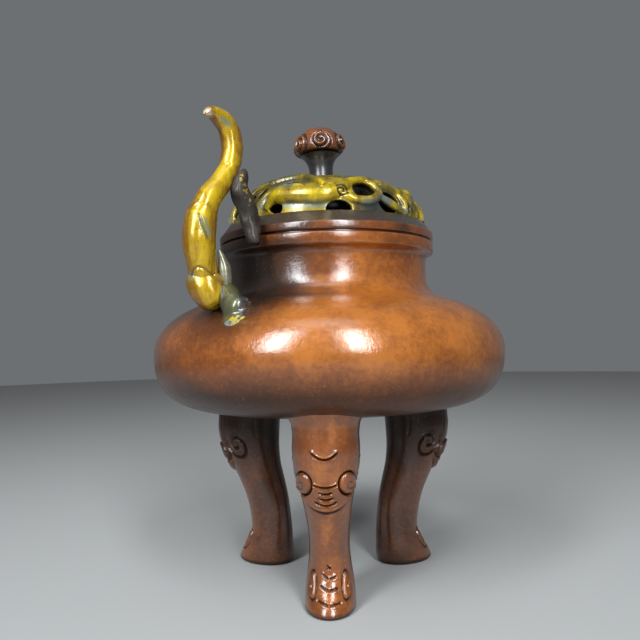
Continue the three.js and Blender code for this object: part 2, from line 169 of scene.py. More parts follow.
def bent(start, first_pull, second_pull, stop, steps):
    """Points on a curve that leaves its start and meets its end towards the two pulls."""
    t = np.linspace(0, 1, steps + 1)[:, None]
    ends = (1 - t) ** 3 * np.array(start) + t**3 * np.array(stop)
    pulls = 3 * (1 - t) ** 2 * t * np.array(first_pull) + 3 * (1 - t) * t * t * np.array(second_pull)
    return [tuple(point) for point in ends + pulls]


def turned(name, section, steps):
    """A closed piece with this section, spun about the Z axis."""
    deselect()
    bpy.ops.mesh.primitive_circle_add(vertices=len(section), radius=MM)
    obj = bpy.context.object
    obj.name = name
    move_to(obj, [(r, 0, z) for r, z in section])
    edit(obj)
    bpy.ops.mesh.spin(steps=steps, angle=2 * math.pi, center=(0, 0, 0), axis=(0, 0, 1))
    finish_edit()
    return close_up(obj, merge=0.002)


# %% [markdown]
# Legs, branches and scrolls are grids rolled round a path: one side of the grid runs round the
# piece and the other along it. Because each point knows its place on both, carving is a matter of
# moving it in or out there, as a chaser's tool does.


# %% Rolled grids
def rolled(name, around, along, place):
    """A grid whose points go to place(u, v), u running once round and v from end to end."""
    deselect()
    bpy.ops.mesh.primitive_grid_add(x_subdivisions=around, y_subdivisions=along, size=2)
    obj = bpy.context.object
    obj.name = name
    grid = positions(obj) * MM
    move_to(obj, place((grid[:, 0] + 1) / 2, (grid[:, 1] + 1) / 2))
    return close_up(obj, merge=0.004)


def through(stations, places):
    """Values at places on a smooth curve through stations, each (place, value, value, ...)."""
    rows = np.array(stations, float)
    at, values = rows[:, 0], rows[:, 1:]
    slopes = np.gradient(values, at, axis=0)
    i = np.clip(np.searchsorted(at, places) - 1, 0, len(at) - 2)
    gap = (at[i + 1] - at[i])[:, None]
    t = np.clip((places - at[i])[:, None] / gap, 0, 1)
    start, end = values[i], values[i + 1]
    return (
        start * (1 + 2 * t) * (1 - t) ** 2
        + end * t * t * (3 - 2 * t)
        + slopes[i] * gap * t * (1 - t) ** 2
        - slopes[i + 1] * gap * t * t * (1 - t)
    )


def polar(radius, bearing, height):
    """The point at a radius, a bearing from the front leg in degrees, and a height."""
    angle = math.radians(bearing)
    return np.array([radius * math.sin(angle), -radius * math.cos(angle), height])


def frames_along(centres):
    """Two directions across a path at each of its points, turning as little as they can."""
    tangents = np.gradient(centres, axis=0)
    tangents /= np.linalg.norm(tangents, axis=1)[:, None]
    across = np.cross(tangents[0], (0.3, 0.2, 1.0))
    sideways = []
    for tangent in tangents:
        across = across - tangent * np.dot(across, tangent)
        across /= np.linalg.norm(across)
        sideways.append(across)
    sideways = np.array(sideways)
    return sideways, np.cross(tangents, sideways)


def swept(name, stations, around, along, relief=None):
    """A grid rolled round stations of (point, radius). relief(angle, v, points) adds to the radius."""
    rows = [(i, *point, radius) for i, (point, radius) in enumerate(stations)]
    steps = np.linspace(0, 1, along + 1)
    track = through(rows, steps * (len(stations) - 1))
    sideways, upways = frames_along(track[:, :3])

    def place(u, v):
        i = np.rint(v * along).astype(int)
        angle = u * 2 * math.pi
        out = sideways[i] * np.cos(angle)[:, None] + upways[i] * np.sin(angle)[:, None]
        radius = track[i, 3]
        points = track[i, :3] + out * radius[:, None]
        if relief is not None:
            points = points + out * relief(angle, v, points)[:, None]
        return points

    return rolled(name, around, along, place)


def rough(points, size, seed):
    """Smooth noise from -1 to 1 at points in millimetres, with features of about that size."""
    shift = Vector((seed * 7.3, seed * 3.1, seed * 5.7))
    return np.array([noise.noise(Vector(p) / size + shift) for p in points])


# %% [markdown]
# Carved lines are laid out on the flat, in millimetres, as an engraver draws on paper before it is
# wrapped round the leg. A groove is deepest on its line and leaves a slight lip at its sides.


# %% Carving on a flat pattern
def distance_to(line, points):
    """The distance of each point from a line through other points, on the flat or in space."""
    line = np.array(line, float)
    best = np.full(len(points), 1e9)
    for start, end in zip(line[:-1], line[1:]):
        along = end - start
        t = np.clip(((points - start) @ along) / max(along @ along, 1e-9), 0, 1)
        gap = points - (start + t[:, None] * along)
        best = np.minimum(best, np.linalg.norm(gap, axis=1))
    return best


def groove(line, points, width, depth, lip=0.25):
    """How far a cut along the line moves each point, inwards on the line and outwards beside it."""
    d = distance_to(line, points) / width
    return depth * (lip * np.exp(-((d - 1.5) ** 2) / 0.35) - np.exp(-d * d * 1.6))


def spiral(centre, inner, outer, start, turns, stretch=1.0, steps=40):
    """Points of a curl that opens from an inner to an outer radius, start in degrees."""
    t = np.linspace(0, 1, steps)
    angle = np.radians(start) + t * turns * 2 * math.pi
    radius = inner + (outer - inner) * t
    return np.stack([centre[0] + radius * np.cos(angle), centre[1] + radius * np.sin(angle) * stretch], 1)


def leaning(points, centre, lean):
    """Flat points as seen from a centre, with the paper turned by an angle in degrees."""
    c, s = math.cos(math.radians(lean)), math.sin(math.radians(lean))
    x, y = points[:, 0] - centre[0], points[:, 1] - centre[1]
    return np.stack([x * c + y * s, y * c - x * s], 1)


def mirrored(flat):
    """Flat points folded over the middle line, so that a mark at one side serves both."""
    return np.stack([np.abs(flat[:, 0]), flat[:, 1]], 1)


def away(points, place):
    """The distance of each point from a place, on the flat or in space."""
    return np.linalg.norm(points - place, axis=1)


def oval(points, centre, radii):
    """The distance of flat points from a centre, as a share of an ellipse with these radii."""
    return np.hypot((points[:, 0] - centre[0]) / radii[0], (points[:, 1] - centre[1]) / radii[1])


def rising(value, start, over):
    """0 up to a start, then an even rise to 1."""
    return np.clip((value - start) / over, 0, 1)


def falling(value, stop, over):
    """1, then an even fall that ends at 0 at a stop."""
    return np.clip((stop - value) / over, 0, 1)


def ridge(value, crest, width):
    """1 where a value is at its crest, easing to 0 on both sides."""
    return np.exp(-(((value - crest) / width) ** 2))


def within(value, limit, soft):
    """1 below a limit and 0 above it, with a soft step between."""
    return 1 / (1 + np.exp((value - limit) / soft))


def fade(distance, reach, soft):
    """1 within a reach of a mark and 0 beyond it, over a soft edge."""
    return np.clip((reach - distance) / (reach * soft) + 0.5, 0, 1)


# %% [markdown]
# ## Finishes
# Every finish is a small network of nodes on the shader. The patina of copper is not one colour:
# broad clouds of orange and umber lie over each other, fine mottling sits in them, and painted light
# and painted shade lie over these. Painted shade is dark and dull, and it takes the wax away.


# %% Node helpers
COAT_IOR = 1.8
SPECULAR_LEVEL = 0.2


def new_finish(name):
    """A finish and its empty tree of nodes."""
    made = bpy.data.materials.new(name)
    made.use_nodes = True
    made.node_tree.nodes.clear()
    return made, made.node_tree


def node(tree, kind, ops=None, **inputs):
    """Adds a node and sets its properties from ops. Each input is linked, set, or left when None."""
    made = tree.nodes.new("ShaderNode" + kind)
    for key, value in (ops or {}).items():
        setattr(made, key, value)
    for key, value in inputs.items():
        numbered = key[0] == "i" and key[1:].isdigit()
        socket = made.inputs[int(key[1:])] if numbered else made.inputs[key.replace("_", " ")]
        if isinstance(value, bpy.types.NodeSocket):
            tree.links.new(value, socket)
        elif isinstance(value, tuple):
            socket.default_value = (*value, 1)[: len(socket.default_value)]
        elif value is not None:
            socket.default_value = value
    return made


def painted(tree, name):
    """The value that paint() keeps on a piece."""
    return node(tree, "Attribute", {"attribute_name": name}).outputs["Fac"]


def clouds(tree, scale, detail, roughness=0.55, distortion=0.0, vector=None):
    """Soft noise in the object's own space. scale is in features per metre."""
    if vector is None:
        vector = node(tree, "TexCoord").outputs["Object"]
    made = node(tree, "TexNoise", Vector=vector, Scale=scale, Detail=detail, Roughness=roughness,
                Distortion=distortion)
    return made.outputs["Fac"]


def ramp(tree, value, stops):
    """Colours or greys along a value; each stop is (place, colour)."""
    made = node(tree, "ValToRGB", Fac=value)
    elements = made.color_ramp.elements
    while len(elements) < len(stops):
        elements.new(0.5)
    for element, (place, colour) in zip(elements, stops):
        element.position = place
        element.color = (*colour, 1) if isinstance(colour, tuple) else (colour, colour, colour, 1)
    return made.outputs["Color"]


def maths(tree, operation, first, second, clamp=False):
    made = node(tree, "Math", {"operation": operation, "use_clamp": clamp}, i0=first, i1=second)
    return made.outputs[0]


def plus(tree, first, second):
    return maths(tree, "ADD", first, second)


def times(tree, first, second):
    return maths(tree, "MULTIPLY", first, second)


def blend(tree, amount, first, second, share=None):
    """Lays the second colour over the first, by an amount or by a share of it."""
    if share is not None:
        amount = times(tree, amount, share)
    return node(tree, "Mix", {"data_type": "RGBA"}, i0=amount, i6=first, i7=second).outputs[2]


def torn(tree, amount, scale, bite):
    """A painted value with a ragged edge, as worn leaf or a stained patch has."""
    ragged = times(tree, clouds(tree, scale, 5, 0.7, 0.6), bite)
    value = plus(tree, maths(tree, "SUBTRACT", amount, 0.5), ragged)
    return ramp(tree, value, [(bite * 0.5 - 0.06, 0.0), (bite * 0.5 + 0.06, 1.0)])


def bumps(tree, height, strength, distance, normal=None):
    """A normal from a height, with the relief's depth in metres."""
    made = node(tree, "Bump", Strength=strength, Distance=distance, Height=height, Normal=normal)
    return made.outputs["Normal"]


def hollows(tree, low, high):
    """1 in creases and 0 on open and raised surfaces, from the mesh's own curvature."""
    point = node(tree, "NewGeometry").outputs["Pointiness"]
    return node(tree, "MapRange", Value=point, From_Min=high, From_Max=low).outputs[0]


def surface(tree, colour, roughness, normal=None, metallic=0.0, coat=0.0, coat_roughness=0.2):
    """The shader itself. The coat is the wax over the metal."""
    shader = node(tree, "BsdfPrincipled", Base_Color=colour, Roughness=roughness, Metallic=metallic,
                  Coat_Weight=coat, Coat_Roughness=coat_roughness, Coat_IOR=COAT_IOR,
                  Specular_IOR_Level=SPECULAR_LEVEL, Normal=normal, Coat_Normal=normal)
    node(tree, "OutputMaterial", Surface=shader.outputs[0])


def wear(obj, finish):
    obj.data.materials.clear()
    obj.data.materials.append(finish)


# %% Copper patina
UMBER = (0.085, 0.024, 0.006)
RUSSET = (0.235, 0.06, 0.007)
ORANGE = (0.47, 0.142, 0.016)
# The dark colour of painted shade.
PAINTED_SHADE = (0.015, 0.010, 0.008)
BARE_COPPER = (0.45, 0.22, 0.1)


def copper_patina(name, warmth, slope=None):
    """Waxed copper. It reads three painted values: "shade" is painted shade, "dusk" darkens but keeps its
    wax, and the third is painted light. Where a fourth is painted, "slope", the colour of that name
    lies there."""
    made, tree = new_finish(name)
    broad = clouds(tree, 20, 3, 0.5, 0.4)
    middle = clouds(tree, 95, 5, 0.6)
    fine = clouds(tree, 620, 4, 0.65)
    mixed = plus(tree, times(tree, broad, 0.3), times(tree, middle, 0.4))
    mixed = plus(tree, mixed, times(tree, fine, 0.3))
    # Painted light lifts the colour and painted shade drops it.
    lift = times(tree, painted(tree, "glow"), 0.16)
    drop = times(tree, painted(tree, "shade"), 0.2)
    mixed = maths(tree, "SUBTRACT", plus(tree, mixed, lift), drop)
    place = 0.66 - 0.3 * warmth
    colour = ramp(tree, mixed, [(place - 0.18, UMBER), (place + 0.02, RUSSET), (place + 0.2, ORANGE)])
    colour = blend(tree, painted(tree, "shade"), colour, PAINTED_SHADE, 0.9)
    colour = blend(tree, painted(tree, "dusk"), colour, PAINTED_SHADE, 0.88)
    if slope is not None:
        colour = blend(tree, torn(tree, painted(tree, "slope"), 240, 0.4), colour, slope)
    # Painted shade in the creases.
    colour = blend(tree, hollows(tree, 0.40, 0.49), colour, PAINTED_SHADE, 0.85)
    specks = ramp(tree, clouds(tree, 1500, 2, 0.5), [(0.66, 0.0), (0.72, 1.0)])
    colour = blend(tree, specks, colour, BARE_COPPER, 0.3)
    roughness = ramp(tree, middle, [(0.3, 0.3), (0.7, 0.46)])
    grain = plus(tree, fine, times(tree, clouds(tree, 2400, 2), 0.4))
    waves = bumps(tree, clouds(tree, 70, 3, 0.5), 0.2, 0.0006)
    # Painted shade takes the wax away, so the shaded places reflect less.
    waxed = maths(tree, "SUBTRACT", 0.95, times(tree, painted(tree, "shade"), 0.9), clamp=True)
    surface(tree, colour, roughness, bumps(tree, grain, 0.55, 0.00014, waves), metallic=0.15, coat=waxed,
            coat_roughness=0.13)
    return made


# %% Gilding
def gilding(name, bright, deep, dark, stains_and_light):
    """Gilt bronze with furrows of brown. Each painted value is given with its colour: real marks, painted
    shade, highlights and reflections.
    """
    made, tree = new_finish(name)
    place = node(tree, "TexCoord").outputs["Object"]
    long_way = node(tree, "Mapping", Vector=place, Scale=(1.0, 1.0, 0.28)).outputs[0]
    streaks = clouds(tree, 330, 5, 0.62, 0.3, long_way)
    broad = clouds(tree, 75, 3, 0.5)
    mixed = plus(tree, times(tree, streaks, 0.6), times(tree, broad, 0.4))
    colour = ramp(tree, mixed, [(0.36, deep), (0.56, bright), (0.8, bright)])
    specks = ramp(tree, clouds(tree, 900, 3, 0.6), [(0.62, 0.0), (0.7, 1.0)])
    colour = blend(tree, specks, colour, dark, 0.6)
    for mark_name, mark_colour in stains_and_light:
        ragged = torn(tree, painted(tree, mark_name), 420, 0.5)
        soft = plus(tree, times(tree, ragged, 0.35), times(tree, painted(tree, mark_name), 0.6))
        colour = blend(tree, soft, colour, mark_colour)
    # Painted shade in the creases.
    colour = blend(tree, hollows(tree, 0.40, 0.495), colour, dark, 0.9)
    roughness = ramp(tree, streaks, [(0.3, 0.24), (0.7, 0.4)])
    surface(tree, colour, roughness, bumps(tree, streaks, 0.4, 0.00015), metallic=0.3, coat=0.5,
            coat_roughness=0.16)
    return made


# %% Dark bronze and steel
def dark_metal(name, low, high, stains_and_light=(), metallic=0.5, roughness=(0.35, 0.55), coat=0.8,
               coat_roughness=0.16):
    """Bronze or steel, mottled between two colours, with painted shade in its creases."""
    made, tree = new_finish(name)
    middle = clouds(tree, 140, 5, 0.62)
    colour = ramp(tree, middle, [(0.35, low), (0.65, high)])
    colour = blend(tree, hollows(tree, 0.44, 0.5), colour, PAINTED_SHADE, 0.8)
    for mark_name, mark_colour in stains_and_light:
        colour = blend(tree, torn(tree, painted(tree, mark_name), 420, 0.6), colour, mark_colour)
    fine = clouds(tree, 1300, 3)
    rough_value = ramp(tree, middle, [(0.3, roughness[0]), (0.7, roughness[1])])
    surface(tree, colour, rough_value, bumps(tree, fine, 0.3, 0.0001), metallic=metallic, coat=coat,
            coat_roughness=coat_roughness)
    return made


copper = copper_patina("copper patina", 0.55)
leg_copper = copper_patina("leg copper patina", 0.38)
cap_copper = copper_patina("cap copper patina", 0.2)
lid_copper = copper_patina("lid copper patina", 0.5, slope=(0.04, 0.026, 0.02))
branch_gilt = gilding("branch gilding", (0.64, 0.415, 0.005), (0.30, 0.15, 0.004), (0.06, 0.038, 0.015),
                      stains_and_light=(("brown", (0.22, 0.085, 0.01)), ("verdigris", (0.26, 0.27, 0.13)),
                              ("bone", (0.62, 0.55, 0.4)), ("line", (0.12, 0.075, 0.02))))
# On the dome, "deep" is painted shade, and "pale" and "grey" carry painted highlights and reflections.
dome_gilt = gilding("dome gilding", (0.60, 0.42, 0.005), (0.15, 0.085, 0.006), (0.014, 0.012, 0.009),
                    stains_and_light=(("olive", (0.09, 0.072, 0.015)), ("pale", (0.25, 0.28, 0.21)),
                            ("grey", (0.12, 0.14, 0.135)), ("deep", (0.012, 0.011, 0.008)),
                            ("line", (0.02, 0.018, 0.012))))
leaf_bronze = dark_metal("pale bract bronze", (0.16, 0.14, 0.08), (0.42, 0.42, 0.3))
root_bronze = dark_metal("root bronze", (0.03, 0.028, 0.025), (0.12, 0.115, 0.1),
                         stains_and_light=(("green", (0.12, 0.12, 0.05)), ("ash", (0.29, 0.33, 0.33)),
                                 ("leaf", (0.62, 0.47, 0.05)), ("copper", (0.06, 0.026, 0.012))),
                         roughness=(0.25, 0.45))
twig_bronze = dark_metal("twig bronze", (0.018, 0.014, 0.012), (0.075, 0.06, 0.05),
                         stains_and_light=(("leaf", (0.36, 0.24, 0.03)),), roughness=(0.45, 0.65), coat=0.15)
stem_bronze = dark_metal("stem bronze", (0.026, 0.021, 0.022), (0.07, 0.06, 0.062), roughness=(0.3, 0.45),
                         coat_roughness=0.26)
plain_steel = dark_metal("plain steel", (0.3, 0.3, 0.29), (0.5, 0.5, 0.48), metallic=0.9)

# %% [markdown]
# ## The vessel
# The body was cast and turned smooth, so its section is spun. The lower curve runs full and boxy from
# a flat underside to the widest ring, the shoulder above it is part of an ellipse, and a hollow
# fillet leads into the upright neck.

# %% Vessel
underside, rim_top = height_of("vessel")
belly_radius = radius_of("vessel")
belly_level = underside + 21.8
underside_flat = 32.0
fullness = 0.73
shoulder_centre = 32.0
shoulder_rise = 20.5
shoulder_end = 69
wall = 3.5
neck = 38.0
rim = 41.0
rim_round = 0.7
fillet_level = rim_top - 13
fillet_radius = 8
fillet_start = 248
RIM_FLARE = [(neck, 7), (38.2, 6), (38.8, 5.1), (39.8, 4.4), (40.7, 4.1), (rim, 3.4), (rim, 0.9)]


def body_curve(by, steps):
    """The section from the underside to the foot of the neck, moved in by the wall's thickness."""
    low, wide = underside + by, belly_radius - by
    run, rise = (wide - underside_flat) * fullness, (belly_level - low) * fullness
    belly = bent((underside_flat, low), (underside_flat + run, low), (wide, belly_level - rise),
                 (wide, belly_level), steps)
    shoulder = arc((shoulder_centre, belly_level), (wide - shoulder_centre, shoulder_rise - by), 0,
                   shoulder_end, steps)
    fillet = arc((neck + fillet_radius, fillet_level), (fillet_radius + by, fillet_radius + by),
                 fillet_start, 180, steps // 2)
    return [(0, low)] + belly + shoulder[1:] + fillet


outside = body_curve(0, 24) + [(radius, rim_top - below) for radius, below in RIM_FLARE]
outside += arc((rim - rim_round, rim_top - rim_round), (rim_round, rim_round), 0, 90, 4)
inner_neck = neck - wall
inside = body_curve(wall, 14) + [(inner_neck, rim_top - 0.5), (inner_neck + 0.5, rim_top)]
vessel = turned("vessel_shell", outside + inside[::-1], 220)
smooth(vessel, 60)

neck_middle = 114
flare_level = 122
handle_foot = polar(51, -31, 103)
behind_branch, left_of_branch = polar(neck, -30, neck_middle), polar(neck, -58, neck_middle)
lit_side = polar(66, 28, 84)
shade_top, shade_depth = 85, 13
neck_foot = [polar(46, -40, 103.5), polar(46, -22, 103.5), polar(45, 0, 104)]
points = positions(vessel)
# Painted shade that keeps its wax: behind the branch on the neck and along the neck's foot.
dusk = fade(away(points, behind_branch), 17, 1.2)
dusk = np.maximum(0.8 * fade(distance_to(neck_foot, points), 4.5, 1.4), dusk)
patches = 0.8 + 0.7 * rough(points, 9.0, 41)
paint(vessel, "dusk", dusk * patches * (points[:, 2] < flare_level))
# Painted shade: round the handle's foot, darker towards the bottom of the belly, and left of the branch.
shade = fade(away(points, handle_foot), 16, 1.0)
shade = np.maximum(shade, 0.8 * falling(points[:, 2], shade_top, shade_depth) ** 1.3)
shade = np.maximum(shade, fade(away(points, left_of_branch), 22, 1.2))
paint(vessel, "shade", shade)
# Painted light on the right front of the belly.
paint(vessel, "glow", fade(away(points, lit_side), 44, 1.2))
wear(vessel, copper)
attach(vessel, "vessel")
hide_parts("vessel")
print("vessel points:", len(points))

# %% [markdown]
# ## The legs
# Each leg is a grid rolled round a slightly bowed line: thick under the belly, thin at the ankle and
# flared at the foot. The beast mask is carved into it. Its lines are laid out on the flat in
# millimetres round the leg and up it, then pressed in or raised. LEG_SHAPE holds, for each level as
# a share of the underside's, the line's distance from the axis and the leg's depth and width. The
# two legs behind are copies of the front one, turned about the axis, with painted shade from the knee
# up where the belly shadows them.

# %% Leg form
LEG_SHAPE = [
    (-0.02, 0.816, 0.85, 0.75), (0, 0.814, 0.864, 0.766), (0.063, 0.784, 0.826, 0.766),
    (0.127, 0.759, 0.735, 0.739), (0.206, 0.744, 0.682, 0.676), (0.301, 0.751, 0.674, 0.622),
    (0.411, 0.789, 0.712, 0.64), (0.522, 0.857, 0.765, 0.712), (0.617, 0.927, 0.833, 0.793),
    (0.728, 0.982, 0.917, 0.919), (0.839, 1, 0.977, 1), (0.949, 0.987, 1, 1),
    (0.989, 0.98, 1.02, 1.04), (1.021, 0.975, 1.08, 1.15), (1.06, 0.967, 1.2, 1.35),
]
LEG_REACH, LEG_DEPTH, LEG_WIDTH = 39.8, 13.2, 11.1
LEG_TOP = underside + 3.2
LEG_GRID = 250
MEAN_RADIUS = 11.8
MASK_MIDDLE = (0, 47.3)
MASK_REACH = 12.6
CHIN_GROOVE, CHIN_LIP = 13.3, 11.9
EYE, EYE_RADII = (8.2, 44.3), (3.4, 3.75)
EAR, EAR_CREASE = (18.6, 47.6), [(27.5, 63), (26.8, 57), (27.6, 51)]
TOE, TOE_RADII = (8.0, 9.0), (2.1, 3.7)
WRINKLES = ((3.9, 52.5, 1.9), (3.5, 43.5, 0.7), (1.9, 41.3, 0.4), (2.4, 39.3, 0.6), (3.6, 37.2, 1.2))
TOE_STROKES = ((14.6, -0.6, 0.6), (11.6, 0.7, 2.9), (8.3, 0.5, 3.6), (4.5, 0.4, 4.4))


def leg_shape(level):
    """How far out the leg's line stands, how deep the leg is and how wide, at each level."""
    return (through(LEG_SHAPE, level / underside) * [LEG_REACH, LEG_DEPTH, LEG_WIDTH]).T


def leg_pattern(angle, wide, level):
    """Places on the flat pattern: millimetres round the leg and up it."""
    return np.stack([angle * MEAN_RADIUS * (0.55 + 0.45 * wide / LEG_WIDTH), level], 1)


def mask_edge(flat):
    """1 on the mask and 0 on the shin below it, with the chin's curve between."""
    reach = np.where(flat[:, 1] < MASK_MIDDLE[1], away(flat, MASK_MIDDLE), np.abs(flat[:, 0]))
    return within(reach, MASK_REACH, 0.16)


def smile(half, level, sag):
    """A line that hangs in the middle, on the flat pattern of the leg."""
    x = np.linspace(-1, 1, 17)
    return np.stack([x * half, level + sag * x * x], 1)


def mask_relief(flat):
    """The mask on the knee, as a height over the leg: a chin, a pair of curled eyes and wrinkles."""
    height = mask_edge(flat)
    chin = away(flat, MASK_MIDDLE)
    height -= 0.6 * ridge(chin, CHIN_GROOVE, 0.5) * (flat[:, 1] < 44)
    height += 0.4 * ridge(chin, CHIN_LIP, 0.4) * (flat[:, 1] < 43)
    eye = leaning(mirrored(flat), EYE, 24)
    disc = oval(eye, (0, 0), EYE_RADII)
    height += 0.7 * within(disc, 0.9, 0.06) - 0.95 * ridge(disc, 1.06, 0.09)
    height += 0.4 * ridge(disc, 1.3, 0.09) * falling(eye[:, 1], 0, 2)
    height += groove(spiral((0.4, -0.2), 0.5, 2.2, 20, 0.9), eye, 0.36, 0.45, 0.2)
    for half, level, sag in WRINKLES:
        height += groove(smile(half, level, sag), flat, 0.42, 0.65, 0.7)
    return height


def side_relief(flat):
    """The ear's curl at each side of the knee, and the crease behind it."""
    curl = spiral(EAR, 0.8, 5.4, -60, -1.35, 1.1, 60)
    return groove(curl, mirrored(flat), 0.6, 0.85) + groove(EAR_CREASE, mirrored(flat), 0.8, 0.2, 0.0)


def foot_relief(flat):
    """Oval knuckles at the sides of the foot and short strokes across its front."""
    toe = leaning(mirrored(flat), TOE, -8)
    disc = oval(toe, (0, 0), TOE_RADII)
    height = 0.7 * within(disc, 0.9, 0.07) - 0.6 * ridge(disc, 1.12, 0.12)
    height += groove(spiral((0.5, 0.3), 0.3, 1.2, 90, 0.8, 1.8), toe, 0.3, 0.35, 0.1)
    for level, start, end in TOE_STROKES:
        for side in (-1, 1):
            stroke = [(side * start, level - 0.2), (side * end, level + (0.2 if side > 0 else 0.8))]
            height += groove(stroke, flat, 0.42, 0.55, 0.4)
    return height


def carving(flat):
    return mask_relief(flat) + side_relief(flat) + foot_relief(flat)


def cut_depth(flat):
    """How dark a carved line is: 1 at the bottom of a cut and 0 beside it."""
    return falling(carving(flat), mask_edge(flat) - 0.12, 0.35)


def leg_place(u, v):
    """A point of the leg: its shape, the carving, the shin's edge, the instep and the sole's round."""
    level = v * LEG_TOP
    reach, deep, wide = leg_shape(level)
    angle = (u - 0.5) * 2 * math.pi
    relief = carving(leg_pattern(angle, wide, level))
    relief += 0.3 * ridge(angle, 0, 0.16) * rising(level, 14, 6) * falling(level, 36, 8)
    instep = 0.9 * ridge(level, 3, 4) - 0.7 * ridge(level, 13.5, 3.5)
    relief += instep * ridge(angle, 0, 0.9)
    relief -= 0.9 * (1 - rising(level, 0, 1.1)) ** 2
    x = (wide + relief) * np.sin(angle)
    y = -reach - (deep + relief) * np.cos(angle)
    return np.stack([x, y, level], 1)


LEGS = (("leg_front", 0), ("leg_right", 120), ("leg_left", 240))
first_leg = rolled("front_leg", LEG_GRID, LEG_GRID, leg_place)
smooth(first_leg, 60)
points = positions(first_leg)
level = points[:, 2]
reach, deep, wide = leg_shape(level)
angle = np.arctan2(points[:, 0] / wide, (-reach - points[:, 1]) / deep)
cuts = 0.95 * cut_depth(leg_pattern(angle, wide, level))
sides = np.abs(angle) / math.pi
sole = fade(level, 1.2, 1.5)
# Painted shade in the cuts, at the sole and towards the sides of the leg.
paint(first_leg, "shade", np.maximum(cuts, sole + 0.45 * sides))
# Painted highlight down the front of the leg.
paint(first_leg, "glow", ridge(angle, 0, 0.75) * (0.5 + 0.7 * rough(points * [1, 1, 0.3], 3.0, 31)))
wear(first_leg, leg_copper)

for leg_node, bearing in LEGS[::-1]:
    leg = first_leg
    if bearing:
        pick(first_leg)
        bpy.ops.object.duplicate(linked=False)
        leg = bpy.context.object
        leg.data.transform(Matrix.Rotation(math.radians(bearing), 4, "Z"))
        # The legs behind also take painted shadow from the belly, from the knee up.
        shade = np.maximum(cuts, 0.75 * rising(level, 36, 22) + 0.55 * sides + sole)
        leg.data.attributes["shade"].data.foreach_set("value", np.clip(shade, 0, 1))
    leg.name = leg_node + "_carved"
    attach(leg, "vessel")
    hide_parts(leg_node)
print("points in each leg:", len(first_leg.data.vertices))

# %% [markdown]
# ## The branch handle
# The handle is modelled after a living shoot. Three parts stand one in another: a round bulb on the
# shoulder, a longer sheath out of it, and the shoot that leans in over the lid and curls out again.
# Each is a grid rolled round its own path, with furrows along it. Its stations follow the packed
# model: the turn from the handle's bearing, the way out and up as shares of the branch's height, and
# the thickness as a share of the branch's.

# %% The handle's sizes and bark
BEARING = -39
BRANCH_HEIGHT = 64
BRANCH_RADIUS = 4.4
FOOT_ANGLE = math.radians(47.3)
foot_radius = shoulder_centre + (belly_radius - shoulder_centre) * math.cos(FOOT_ANGLE)
foot_level = belly_level + shoulder_rise * math.sin(FOOT_ANGLE)


def spot(turn, out, up):
    """A place beside the handle's foot, out and up by shares of the branch's height."""
    return polar(foot_radius + out * BRANCH_HEIGHT, BEARING + turn, foot_level + up * BRANCH_HEIGHT)


def along(rows):
    return [(spot(turn, out, up), share * BRANCH_RADIUS) for turn, out, up, share in rows]


def bark(depth, furrows, seed, marks=None, lip=0.0):
    """Furrows that run along a shoot, with small knots, a lip near its start and marks on its front."""

    def relief(angle, v, points):
        lines = np.stack([np.cos(angle) * furrows, np.sin(angle) * furrows, v * 2.5], 1)
        height = depth * rough(lines, 1.0, seed) + depth * 0.8 * rough(points, 3.2, seed + 1)
        height += lip * ridge(v, 0.12, 0.05)
        return height if marks is None else height + marks(points)

    return relief


def from_front(points):
    """X and Z of each point, as the front of the handle is seen."""
    return points[:, [0, 2]]


# %% [markdown]
# Marks on the branch are placed as they are seen from the front, by X and height in millimetres:
# three dimples, the slit where the sheath opens, the sheath's lip and the groove over the bulb. Only
# the front of the branch takes them, where Y is below a limit.

# %% Marks on the branch
DIMPLES = ((-26.9, 146.7), (-29.6, 147.1), (-37.9, 130.1))
SLIT = [(-37.3, 129.1), (-36.4, 126.6), (-35.4, 124.0), (-34.7, 121.6)]
SHEATH_LIP = [(-41.2, 131.6), (-38.6, 133.6), (-36.4, 134.0), (-34.6, 132.4)]
BULB_GROOVE = [(-41.3, 110.5), (-39.9, 112.4), (-37.8, 112.9), (-35.8, 112.0), (-33.4, 109.8), (-31.0, 107.2),
               (-29.6, 105.0)]
SHEATH_FRONT, BULB_FRONT, LINES_FRONT = -48, -46, -44


def shoot_marks(points):
    return -0.3 * sum(ridge(away(from_front(points), dimple), 0, 0.7) for dimple in DIMPLES)


def sheath_marks(points):
    seen = from_front(points)
    cuts = groove(SHEATH_LIP, seen, 0.4, 0.35, 0.5) + groove(SLIT, seen, 0.4, 0.45, 0.4)
    return (points[:, 1] < SHEATH_FRONT) * (cuts + groove(BULB_GROOVE, seen, 0.5, 0.4, 0.3))


def bulb_marks(points):
    return (points[:, 1] < BULB_FRONT) * groove(BULB_GROOVE, from_front(points), 0.5, 0.4, 0.3)


